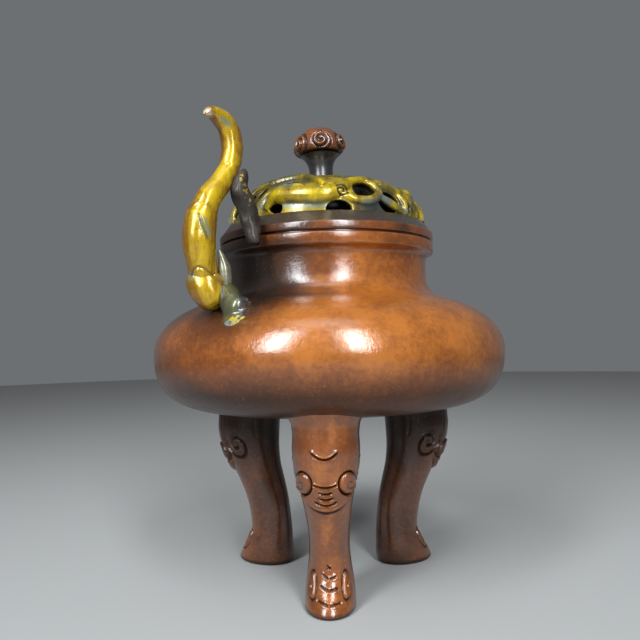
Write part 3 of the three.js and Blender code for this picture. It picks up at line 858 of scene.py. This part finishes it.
# %% Branch
SHOOT = [
    (2, 0.088, 0.971, 0.05), (2, 0.078, 0.979, 0.22), (2, 0.06, 0.989, 0.36), (2, 0.035, 0.996, 0.48),
    (2, -0.012, 0.986, 0.66), (2, -0.064, 0.955, 0.77), (2, -0.094, 0.899, 0.84), (2, -0.1, 0.818, 0.84),
    (2, -0.075, 0.727, 0.82), (2, -0.009, 0.633, 0.84), (2, 0.056, 0.561, 0.93), (1.5, 0.092, 0.483, 1),
    (1, 0.106, 0.405, 0.95),
]
SHEATH = [
    (1.5, 0.079, 0.53, 0.7), (1.5, 0.084, 0.515, 0.93), (1.3, 0.095, 0.47, 1.1), (1, 0.106, 0.43, 1.17),
    (0.5, 0.11, 0.338, 1.2), (0, 0.091, 0.243, 1.11), (-0.3, 0.069, 0.171, 1.03), (0, 0.053, 0.111, 0.8),
]
BULB = [
    (-3.2, 0.09, 0.2, 0.3), (-3.2, 0.088, 0.19, 0.62), (-2.5, 0.078, 0.165, 1.12), (-0.6, 0.05, 0.107, 1.38),
    (1.4, 0.024, 0.049, 1.2), (2.4, 0.01, 0.021, 0.77), (2.8, 0.006, 0.012, 0.3),
]
branch_parts = [
    swept("shoot", along(SHOOT), 80, 180, bark(0.14, 2.2, 1, shoot_marks)),
    swept("sheath", along(SHEATH), 80, 110, bark(0.14, 2.4, 2, sheath_marks)),
    swept("bulb", along(BULB), 90, 90, bark(0.12, 2.0, 3, bulb_marks, lip=0.3)),
]
branch = joined("gilt_branch", branch_parts)
smooth(branch, 55)
points = positions(branch)
seen = from_front(points)
tip = spot(2, 0.06, 0.985)
paint(branch, "bone", fade(away(points, tip), 1.6, 0.8))
patch = leaning(seen, (-30.1, 161.0), -40)
slit_stain, bulb_stain = [(-36.4, 127.4), (-35.0, 123.4)], (-41.0, 110.2)
paint(branch, "verdigris", fade(oval(patch, (0, 0), (2.0, 1.0)), 1.0, 0.8)
      + 0.8 * fade(distance_to(slit_stain, seen), 1.3, 0.8) + 0.7 * fade(away(seen, bulb_stain), 1.6, 0.8))
streak = [(-35.4, 163.4), (-33.0, 160.6), (-32.2, 156.0), (-32.4, 151.0), (-34.0, 147.6)]
line_levels, line_x = [97, 103, 112, 128, 140, 150, 160], [-33, -34.5, -37, -37, -33, -29.5, -30.5]
edge_on = np.abs(seen[:, 0] - np.interp(seen[:, 1], line_levels, line_x)) / 4.6
# Brown: a streak near the tip and freckles higher up, with painted shade at the bottom and towards the edges.
paint(branch, "brown", 0.85 * fade(distance_to(streak, seen), 1.1, 1.2)
      + 0.5 * falling(seen[:, 1], 104, 5) + 0.65 * rising(edge_on, 0.45, 0.45)
      + 0.4 * rough(points, 2.0, 9) * (seen[:, 1] > 130))
lines = np.minimum(distance_to(SLIT, seen), distance_to(SHEATH_LIP, seen) + 0.1)
lines = np.minimum(lines, distance_to(BULB_GROOVE, seen))
paint(branch, "line", 0.5 * fade(lines, 0.55, 1.3) * (points[:, 1] < LINES_FRONT))
wear(branch, branch_gilt)
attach(branch, "vessel")
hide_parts("handle_branch")

# %% [markdown]
# The root runs down from the bulb's side and spreads over the shoulder. A mound follows the
# shoulder's own curve under the root's foot, and a voxel remesh melts the two together.

# %% Root
ROOT = [
    (2.6, -0.006, 0.122, 0.3), (2.8, -0.006, 0.112, 0.6), (3.4, -0.006, 0.095, 0.78),
    (6, -0.003, 0.055, 0.91), (9.4, 0.01, 0.008, 1), (11.5, 0.012, -0.012, 1), (12.6, 0.008, -0.025, 0.7),
]


def shoulder_level(x, y):
    """The level of the vessel's shoulder at a place seen from above."""
    reach = (np.hypot(x, y) - shoulder_centre) / (belly_radius - shoulder_centre)
    return belly_level + shoulder_rise * np.sqrt(np.clip(1 - np.clip(reach, 0, 1) ** 2, 0, 1))


ROOT_DEPTH, ROOT_VOXEL, ROOT_ROUNDS = 1.8, 0.4, 10
MOUND = polar(foot_radius - 1.5, BEARING + 12.5, 0)
MOUND_REACH, MOUND_HEIGHT, MOUND_RIM = 7.0, 2.6, 0.7
MOUND_LOBES = ((11.6, -114, 0.8), (6.0, 5, 1.0), (8.5, 150, 0.9))


def mound_place(u, v):
    """A low mound on the shoulder. It reaches further in two directions and less in a third. Its rim
    lies a little inside the wall, and the last fifth of v closes it from below."""
    angle = u * 2 * math.pi
    reach = np.full(len(u), MOUND_REACH)
    for length, direction, width in MOUND_LOBES:
        turn = (angle - math.radians(direction) + math.pi) % (2 * math.pi) - math.pi
        reach = reach + (length - MOUND_REACH) * ridge(turn, 0, width)
    inner = np.clip(v * 1.25, 0, 1)
    out = inner * reach
    x, y = MOUND[0] + out * np.cos(angle), MOUND[1] + out * np.sin(angle)
    height = MOUND_HEIGHT * (1 - inner**2) ** 2 * (0.62 - 0.38 * np.cos(angle)) - MOUND_RIM * inner**3
    under = np.clip((v - 0.8) * 5, 0, 1)
    x = np.where(under > 0, MOUND[0] + (1 - under) * reach * np.cos(angle), x)
    y = np.where(under > 0, MOUND[1] + (1 - under) * reach * np.sin(angle), y)
    height = np.where(under > 0, -MOUND_RIM - 0.9 * under, height)
    return np.stack([x, y, shoulder_level(x, y) + height], 1)


tube = swept("flared_root", along(ROOT), 70, 80, bark(0.25, 1.2, 4))
mound = rolled("mound", 90, 60, mound_place)
root = melted("flared_root", [tube, mound], ROOT_VOXEL, ROOT_ROUNDS)
points = positions(root)
points[:, 2] = np.maximum(points[:, 2], shoulder_level(points[:, 0], points[:, 1]) - ROOT_DEPTH)
move_to(root, points)
smooth(root, 180)
points = positions(root)
seen = from_front(points)
green_line = [(-29.0, 107.0), (-27.6, 102.0), (-28.4, 97.0)]
paint(root, "green", fade(distance_to(green_line, seen), 2.2, 1.2))
flakes = fade(oval(seen, (-24.4, 94.8), (4.0, 3.0)), 1.0, 0.9)
paint(root, "leaf", flakes * (0.7 + 1.3 * rough(points, 1.3, 21)))
# A painted glint at the root's foot, and scattered pale spots over the root.
glint_patch = fade(oval(seen, (-27.4, 94.0), (3.0, 2.6)), 1.0, 0.9) * (0.6 + 0.9 * rough(points, 1.6, 22))
paint(root, "ash", glint_patch + 0.4 * np.clip(rough(points, 2.5, 23) - 0.1, 0, 1))
above = points[:, 2] - shoulder_level(points[:, 0], points[:, 1])
melt = rising(seen[:, 0], -26, 3) * rising(seen[:, 1], 95, 3)
paint(root, "copper", 0.95 * falling(above, 2.4, 1.5) * melt)
wear(root, root_bronze)
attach(root, "vessel")
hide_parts("handle_root")

# %% [markdown]
# The twig hangs beside the lid. Its stations go out by shares of the way from a line that clears the
# rim to the place where it joins the branch.

# %% Twig
TWIG_RADIUS, TWIG_GAP, TWIG_INSET = 3.4, 0.5, 0.081
twig_line = rim + TWIG_GAP + TWIG_RADIUS
twig_join = foot_radius - BRANCH_HEIGHT * TWIG_INSET
TWIG = [
    (7.8, 0.56, 0.722, 0.06), (7.6, 0.59, 0.711, 0.29), (7.2, 0.72, 0.679, 0.55), (6.5, 0.9, 0.632, 0.82),
    (6.3, 0.78, 0.586, 0.97), (6.8, 0.43, 0.544, 1), (7.2, 0.18, 0.494, 0.94), (7.8, 0.08, 0.44, 0.85),
    (8.8, 0.02, 0.386, 0.74), (9.6, 0, 0.341, 0.5), (9.8, 0, 0.326, 0.1),
]
twig_stations = [
    (polar(twig_line + out * (twig_join - twig_line), BEARING + turn, foot_level + up * BRANCH_HEIGHT),
     share * TWIG_RADIUS)
    for turn, out, up, share in TWIG
]
twig = swept("dark_twig", twig_stations, 64, 130, bark(0.36, 1.8, 5))
smooth(twig, 60)
points = positions(twig)
seen = from_front(points)
worn = fade(distance_to([(-25.4, 143.0), (-24.2, 138.0), (-22.8, 133.0)], seen), 0.9, 1.2)
paint(twig, "leaf", (0.35 + 1.2 * rough(points, 1.1, 24)) * worn)
wear(twig, twig_bronze)
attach(twig, "vessel")
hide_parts("handle_twig")

# %% Bract
BRACT = [
    (3.3, 0.022, 0.296, 0.04), (3.4, 0.019, 0.286, 0.16), (3.6, 0.003, 0.243, 0.36), (4, -0.008, 0.19, 0.48),
    (4.2, -0.011, 0.136, 0.43), (4.4, -0.006, 0.09, 0.27), (4.4, -0.004, 0.078, 0.06),
]
bract = swept("pale_bract", along(BRACT), 40, 50, bark(0.12, 1.4, 6))
smooth(bract, 60)
wear(bract, leaf_bronze)
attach(bract, "vessel")
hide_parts("handle_leaf")

# %% [markdown]
# ## The lid
# The ring is turned like the vessel. Its lower edge is undercut, which draws a thin dark line round
# the mouth, and its upper face slopes in to the seat of the dome.

# %% Lid ring
ring_low, ring_top = height_of("lid_ring")
dome_radius, dome_wall = 36.5, 2.4
gap_top = rim_top + 0.7
edge_top = gap_top + 3.2
seat, seat_level = dome_radius + 0.3, ring_top - 1
skirt = inner_neck - 0.8
inner_skirt = skirt - 2.2
undercut = rim - 1.8
low_round, high_round, seat_round = 0.6, 1.0, 0.5
ring_section = [(inner_skirt, ring_low), (skirt, ring_low), (skirt, rim_top), (undercut, rim_top)]
ring_section += [(undercut, gap_top), (rim - low_round, gap_top)]
ring_section += arc((rim - low_round, gap_top + low_round), (low_round, low_round), -90, 0, 4)
ring_section += [(rim, edge_top - high_round)]
ring_section += arc((rim - high_round, edge_top - high_round), (high_round, high_round), 0, 65, 4)
ring_section += arc((seat + 0.7, ring_top - seat_round), (seat_round, seat_round), 45, 90, 3)
ring_section += [(seat, ring_top), (seat, seat_level), (dome_radius - dome_wall, seat_level)]
ring_section += [(inner_skirt, rim_top + 1.7)]
lid_ring = turned("lid_ring_turned", ring_section, 220)
smooth(lid_ring, 40)
points = positions(lid_ring)
# Painted shade on the ring's left side.
paint(lid_ring, "shade", 0.8 * fade(away(points, polar(rim, -58, ring_top)), 26, 1.2))
paint(lid_ring, "dusk", 0.22 + 0.7 * rough(points, 8.0, 42))
paint(lid_ring, "slope", rising(points[:, 2], edge_top - 0.7, 0.6))
wear(lid_ring, lid_copper)
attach(lid_ring, "lid")
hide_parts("lid_ring")

# %% [markdown]
# ## The pierced dome
# The dome is openwork: a thin shell, pierced, with branches crossing over it. The shell is spun, the
# openings are cut by one boolean, and the branches are rolled grids that lie on it. A voxel remesh
# then melts them into one casting. The front of the design comes again at each third of a turn.

# %% Dome form
dome_foot = seat_level
dome_spring = dome_foot + 1.4
dome_crown = 15.1
dome_rise = 16.2
dome_fall = 0.5
dome_reach = dome_radius - dome_crown
dome_top = dome_spring + dome_rise + dome_fall


def dome_section(by):
    return arc((dome_crown, dome_spring), (dome_reach - by, dome_rise - by), 0, 90, 16)


def dome_point(bearing, rise, lift=0.0):
    """A point on the dome, by bearing and by the angle its curve has risen through."""
    angle = math.radians(rise)
    across = dome_crown + (dome_reach + lift) * math.cos(angle)
    return polar(across, bearing, dome_spring + (dome_rise + lift) * math.sin(angle))


shell = [(dome_radius - dome_wall, dome_foot), (dome_radius, dome_foot)] + dome_section(0)
shell += [(0, dome_top), (0, dome_top - dome_wall)] + dome_section(dome_wall)[::-1]
dome = turned("pierced_dome", shell, 144)

OPENINGS = [
    (25.6, 28, 4.2, 4.1, 12), (9.5, 0, 4.4, 3.3, 0), (-26.5, 9, 3.6, 2.3, -38), (-39.4, 32, 1.3, 2.6, -12),
    (-47, 24, 1.7, 2.6, 0), (-20, 39, 3.3, 2.4, 10), (40.5, 13, 5.0, 4.2, -12), (57.5, 16, 1.8, 3.6, 0),
]
VINES = [
    [(-32, 6, 0.9), (-29, 15, 1.7), (-25, 21, 2.9), (-12, 20, 3.0), (0, 18, 3.0), (9, 24, 2.4), (18, 40, 1.7),
     (31, 45, 1.5), (44, 35, 1.6), (58, 23, 1.5), (66, 10, 1.4), (68, 0, 1.0)],
    [(12, 20, 1.5), (18, 13, 1.6), (27, 12, 1.7), (34, 22, 1.6), (33, 36, 1.4), (29, 44, 1.1)],
    [(33, 20, 1.1), (40, 12, 1.5), (48, 4, 1.5), (52, 0, 1.1)],
    [(50, 31, 1.1), (53, 15, 1.4), (53, 0, 1.1)],
    [(-38, 0, 1.8), (-36, 12, 1.6), (-31, 28, 1.5), (-16, 33, 1.6), (-9, 26, 1.5)],
    [(-56, 14, 1.2), (-48, 36, 1.5), (-36, 52, 1.4), (-16, 58, 1.4), (-4, 46, 1.4), (2, 34, 1.2)],
]
TURNS = (0, 120, 240)


def opening_cutter(bearing, rise, half_width, half_height, tilt):
    centre = dome_point(bearing, rise)
    outward = dome_point(bearing, rise, 1.0) - centre
    outward /= np.linalg.norm(outward)
    across = polar(1, bearing + 90, 0)
    up = np.cross(outward, across)
    deselect()
    bpy.ops.mesh.primitive_cylinder_add(vertices=28, radius=MM, depth=dome_wall * 4 * MM)
    cutter = bpy.context.object
    spin = Matrix.Rotation(math.radians(tilt), 4, "Z")
    size = Matrix.Diagonal((half_width, half_height, 1, 1))
    basis = Matrix((across, up, outward)).transposed().to_4x4()
    cutter.data.transform(Matrix.Translation(Vector(centre) * MM) @ basis @ spin @ size)
    return cutter


cutters = [opening_cutter(bearing + turn, *rest) for turn in TURNS for bearing, *rest in OPENINGS]
cutter = joined("cutters", cutters)
piercing = dome.modifiers.new("piercing", "BOOLEAN")
piercing.object = cutter
piercing.solver = "EXACT"
apply_modifiers(dome)
bpy.data.objects.remove(cutter)

# %% Dome vines
VINE_SIDES, RINGS_PER_STATION = 20, 12
DOME_VOXEL, DOME_ROUNDS = 0.37, 2
pieces = [dome]
for turn in TURNS:
    for vine in VINES:
        stations = [(dome_point(bearing + turn, rise), radius) for bearing, rise, radius in vine]
        pieces.append(swept("vine", stations, VINE_SIDES, RINGS_PER_STATION * len(vine)))
dome = melted("pierced_dome", pieces, DOME_VOXEL, DOME_ROUNDS)

# %% [markdown]
# The dome is unrolled on the flat for its marks: millimetres round it, and millimetres up its curve.
# An engraved scroll is pressed in along the normals. Then come the painted values: painted shade
# below the branches, painted highlights and reflections among the pale and grey places, and olive-brown
# places.

# %% Dome scroll, marks and painted light
SCROLL_EYE = (11.5, 21.5)
ROUND_THE_DOME, UP_THE_DOME = 34, 20
SHELL_DEPTH = 18


def on_dome(bearing, rise):
    """A place on the unrolled dome."""
    return np.radians(bearing) * ROUND_THE_DOME, np.radians(rise) * UP_THE_DOME


def beside(*places):
    """The distance of the dome's points from a line through places, on the unrolled dome."""
    return distance_to([on_dome(*place) for place in places], unrolled)


points = positions(dome)
height = points[:, 2]
reach = np.hypot(points[:, 0], points[:, 1])
out, up = (reach - dome_crown) / dome_reach, (height - dome_spring) / dome_rise
turn = (np.degrees(np.arctan2(points[:, 0], -points[:, 1])) + 60) % 120 - 60
rise = np.degrees(np.arctan2(up, out))
unrolled = np.stack(on_dome(turn, rise), 1)
outer = (reach > dome_crown) & (rise > 2)
cut = distance_to(spiral(on_dome(*SCROLL_EYE), 0.5, 2.6, -28, 1.45), unrolled)
normals = np.empty(len(points) * 3)
dome.data.vertices.foreach_get("normal", normals)
depth = 0.4 * ridge(cut, 0, 0.35) * outer
move_to(dome, points - normals.reshape(-1, 3) * depth[:, None])
smooth(dome, 180)

# Painted shade below the branches, deeper towards the right.
lift = np.where(height > dome_spring, (np.hypot(out, up) - 1) * SHELL_DEPTH, reach - dome_radius)
lift = np.where(reach < dome_crown, height - dome_spring - dome_rise, lift)
right_half = rising(turn, 12, 10) * falling(turn, 60, 6)
paint(dome, "deep", falling(lift, 0.7 + 0.35 * right_half, 1.9))
# Pale: a painted highlight under the main strand; pale grey-blue on two strands, in a pocket and in spots
# higher up.
under = beside((-20, 8), (2, 5), (12, 8))
strands = np.minimum(beside((46, 14), (53, 0)), beside((58, 14), (66, -4)))
pocket = beside((-38, 2), (-32, 18))
paint(dome, "pale", 0.8 * fade(under, 1.3, 1.4) + 0.7 * fade(strands, 1.6, 1.2) + 0.6 * fade(pocket, 1.5, 1.2)
      + 0.25 * np.clip(rough(points, 2.2, 11) - 0.3, 0, 1) * (rise > 20))
# Grey: a painted reflection in an opening and along a strand at the right, and grey round the knob's foot.
opening = away(unrolled, on_dome(-20, 39))
grey_strand = beside((25, 5), (33, 6), (40, 22))
paint(dome, "grey", 0.8 * fade(reach, 9.0, 0.9) + 0.7 * fade(opening, 4.0, 0.8) + 0.9 * fade(grey_strand, 2.6, 1.2))
left_slope = beside((-58, 12), (-42, 30), (-30, 45))
patch = away(unrolled, on_dome(-9, 44))
dusky = 0.75 * fade(left_slope, 5.5, 1.4) + 0.8 * fade(patch, 3.0, 1.2) + 0.6 * rising(rise, 42, 12)
dusky += 0.5 * rising(turn, 24, 8) * falling(turn, 60, 8)
paint(dome, "olive", dusky + 0.45 * rough(points, 3.0, 12))
paint(dome, "line", fade(cut, 0.4, 1.0) * outer)
wear(dome, dome_gilt)
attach(dome, "lid")
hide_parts("lid_dome")
print("dome faces:", len(dome.data.polygons))

# %% [markdown]
# ## The knob
# A dark waisted stem carries a mushroom cap of cloud scrolls. The stem is turned. The cap is a grid
# rolled round it, with the scrolls raised as cords on its side. CAP_SHAPE holds, for each place from
# the cap's underside to its top, the radius and the height.

# %% Knob stem
STEM_PROFILE = [(5.0, 0), (5.1, 0.5), (4.75, 2.0), (4.6, 4.0), (4.65, 6.0), (5.1, 8.0), (6.0, 9.8)]
stem_low, stem_high = height_of("knob_stem")
cap_low = height_of("knob_cap")[0]
knob_foot = dome_top + 0.3
under_cap = cap_low - 0.3
stud, spigot = 1.5, 2.4
stem_section = [(0, stem_low), (stud, stem_low), (stud, knob_foot)]
stem_section += [(radius, knob_foot + level) for radius, level in STEM_PROFILE]
stem_section += [(7.2, cap_low - 0.6), (7.6, under_cap), (spigot, under_cap)]
stem_section += [(spigot, stem_high), (0, stem_high)]
stem = turned("knob_stem_turned", stem_section, 96)
smooth(stem, 45)
wear(stem, stem_bronze)
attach(stem, "lid")
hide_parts("knob_stem")

# %% Knob cap
CAP_SHAPE = [
    (0.0, 0.0, 0.5), (0.12, 3.2, 0.45), (0.22, 6.6, 0.2), (0.3, 8.4, 0.5), (0.37, 9.4, 1.7), (0.45, 9.6, 3.3),
    (0.55, 9.0, 5.3), (0.66, 7.6, 7.5), (0.78, 5.4, 9.25), (0.9, 2.8, 10.25), (1.0, 0.0, 10.65),
]
CAP_RADIUS = 9.6
SCROLL_TURN = 60
FIRST_SCROLL = 6
CORD_EYE = (0.0, 3.7)
CORD = spiral(CORD_EYE, 0.8, 3.6, 100, -1.55, 1.0, 60)
BEADS = 34


def scroll_pattern(angle, level):
    """The flat pattern of a scroll, which is the same for each: millimetres round the cap and up it."""
    turn = (np.degrees(angle) - FIRST_SCROLL + SCROLL_TURN / 2) % SCROLL_TURN - SCROLL_TURN / 2
    return np.stack([np.radians(turn) * CAP_RADIUS, level], 1)


def cap_place(u, v):
    """A point of the cap: its shape, the raised cords of the scrolls and a ring of beads on top."""
    radius, level = through(CAP_SHAPE, v).T
    angle = u * 2 * math.pi
    flat = scroll_pattern(angle, level)
    gap = distance_to(CORD, flat)
    boss = np.clip(1 - oval(flat, (0.0, 3.6), (4.4, 4.0)) ** 4, 0, None)
    height = 0.6 * ridge(gap, 0, 0.55) - 0.4 * ridge(gap, 1.05, 0.4) + 0.15 * boss
    height *= rising(v, 0.26, 0.06) * falling(level, 8.3, 2.2)
    height += 0.3 * ridge(away(flat, CORD_EYE), 0, 0.7)
    height += 0.3 * (0.6 + 0.4 * np.cos(angle * BEADS)) * ridge(radius, 4.9, 0.5) * (v > 0.6)
    out = radius + height * rising(radius, 0, 5)
    level = level + height * 0.45 * (v > 0.55)
    return np.stack([out * np.sin(angle), -out * np.cos(angle), cap_low + level], 1)


cap = rolled("scrolled_cap", 420, 150, cap_place)
smooth(cap, 60)
points = positions(cap)
flat = scroll_pattern(np.arctan2(points[:, 0], -points[:, 1]), points[:, 2] - cap_low)
gap = distance_to(CORD, flat)
# Painted shade beside the cords and under the cap's rim.
paint(cap, "shade", 0.85 * ridge(gap, 1.0, 0.45) + 0.7 * (points[:, 2] < cap_low + 0.6))
# Painted highlight along the cords.
paint(cap, "glow", 0.4 * ridge(gap, 0, 0.45))
wear(cap, cap_copper)
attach(cap, "lid")
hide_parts("knob_cap")

# %% [markdown]
# The knob was set by hand. It leans a little to the left about its own foot, and stands a little
# to the left of the axis.

# %% Knob's lean
LEAN, SHIFT = -2.6, -1.1
foot = Matrix.Translation((0, 0, knob_foot * MM))
lean = Matrix.Translation((SHIFT * MM, 0, 0)) @ Matrix.Rotation(math.radians(LEAN), 4, "Y")
lean = foot @ lean @ foot.inverted()
for part in (stem, cap):
    part.data.transform(lean)

# %% Washer and nut
for hidden in ("knob_washer", "knob_nut"):
    wear(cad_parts[hidden], plain_steel)

# %% [markdown]
# ## The studio
# The floor is plain and pale, and the sky behind it is dim, even and cool. Two tall soft lights stand
# in front, one to each side of the lens, and draw the paired highlights on the shoulder and neck. A
# weak third one overhead lifts the rim and the lid's edge.

# %% Stage and lights
FLOOR_RADIUS, FLOOR_DEPTH = 1500, 20
FLOOR_COLOUR = (0.5, 0.49, 0.475)
SKY_COLOUR, SKY_STRENGTH = (0.9, 0.95, 1.0, 1), 0.17
LAMP_SPREAD = 100

slab = [(0, 0), (FLOOR_RADIUS, 0), (FLOOR_RADIUS, -FLOOR_DEPTH), (0, -FLOOR_DEPTH)]
floor = turned("studio_floor", slab, 96)
pale_floor, tree = new_finish("pale floor")
surface(tree, FLOOR_COLOUR, 0.9)
wear(floor, pale_floor)

world = bpy.data.worlds.new("soft sky")
bpy.context.scene.world = world
world.use_nodes = True
world.node_tree.nodes["Background"].inputs[0].default_value = SKY_COLOUR
world.node_tree.nodes["Background"].inputs[1].default_value = SKY_STRENGTH


def softbox(name, azimuth, elevation, distance, width, height, watts, colour):
    """An area light aimed at the burner, azimuth from the front towards the right, in metres."""
    target = Vector((0, 0, 0.1))
    a, e = math.radians(azimuth), math.radians(elevation)
    place = target + distance * Vector((math.sin(a) * math.cos(e), -math.cos(a) * math.cos(e), math.sin(e)))
    bpy.ops.object.light_add(type="AREA", location=place)
    lamp = bpy.context.object
    lamp.name = name
    lamp.data.shape = "RECTANGLE"
    lamp.data.size = width
    lamp.data.size_y = height
    lamp.data.energy = watts
    lamp.data.color = colour
    lamp.data.spread = math.radians(LAMP_SPREAD)
    lamp.rotation_euler = (target - place).to_track_quat("-Z", "Y").to_euler()


deselect()
softbox("right softbox", 20, 31, 0.75, 0.14, 0.75, 1.85, (0.88, 0.95, 1))
softbox("left softbox", -31, 31, 0.78, 0.17, 0.75, 2.0, (0.88, 0.95, 1))
softbox("top softbox", -4, 74, 0.9, 0.5, 0.3, 0.25, (0.9, 0.96, 1))

# %% [markdown]
# ## The camera
# The photograph was taken from close by, from just above the level of the belly's widest ring, with
# the lens tilted up by about two degrees. Its place was solved from the ellipses of the rim and belly
# and from the three feet.

# %% Camera
LENS, SENSOR_WIDTH, NEAREST = 36.61, 36, 0.01
CAMERA_PLACE = (0.01014, -0.25269, 0.08875)
HEADING = math.radians(3.0)
TILT = 0.0325
ROLL = -0.0225

forward = Vector((-math.sin(HEADING) * math.cos(TILT), math.cos(HEADING) * math.cos(TILT), math.sin(TILT)))
right = Vector((math.cos(HEADING), math.sin(HEADING), 0))
up = right.cross(forward)
rolled_right = right * math.cos(ROLL) + up * math.sin(ROLL)
rolled_up = up * math.cos(ROLL) - right * math.sin(ROLL)
camera_data = bpy.data.cameras.new("camera")
camera_data.lens = LENS
camera_data.sensor_width = SENSOR_WIDTH
camera_data.clip_start = NEAREST
camera = bpy.data.objects.new("camera", camera_data)
bpy.context.scene.collection.objects.link(camera)
turned_view = Matrix((rolled_right, rolled_up, -forward)).transposed().to_4x4()
camera.matrix_world = Matrix.Translation(CAMERA_PLACE) @ turned_view
bpy.context.scene.camera = camera
bpy.context.scene.view_settings.view_transform = "Standard"
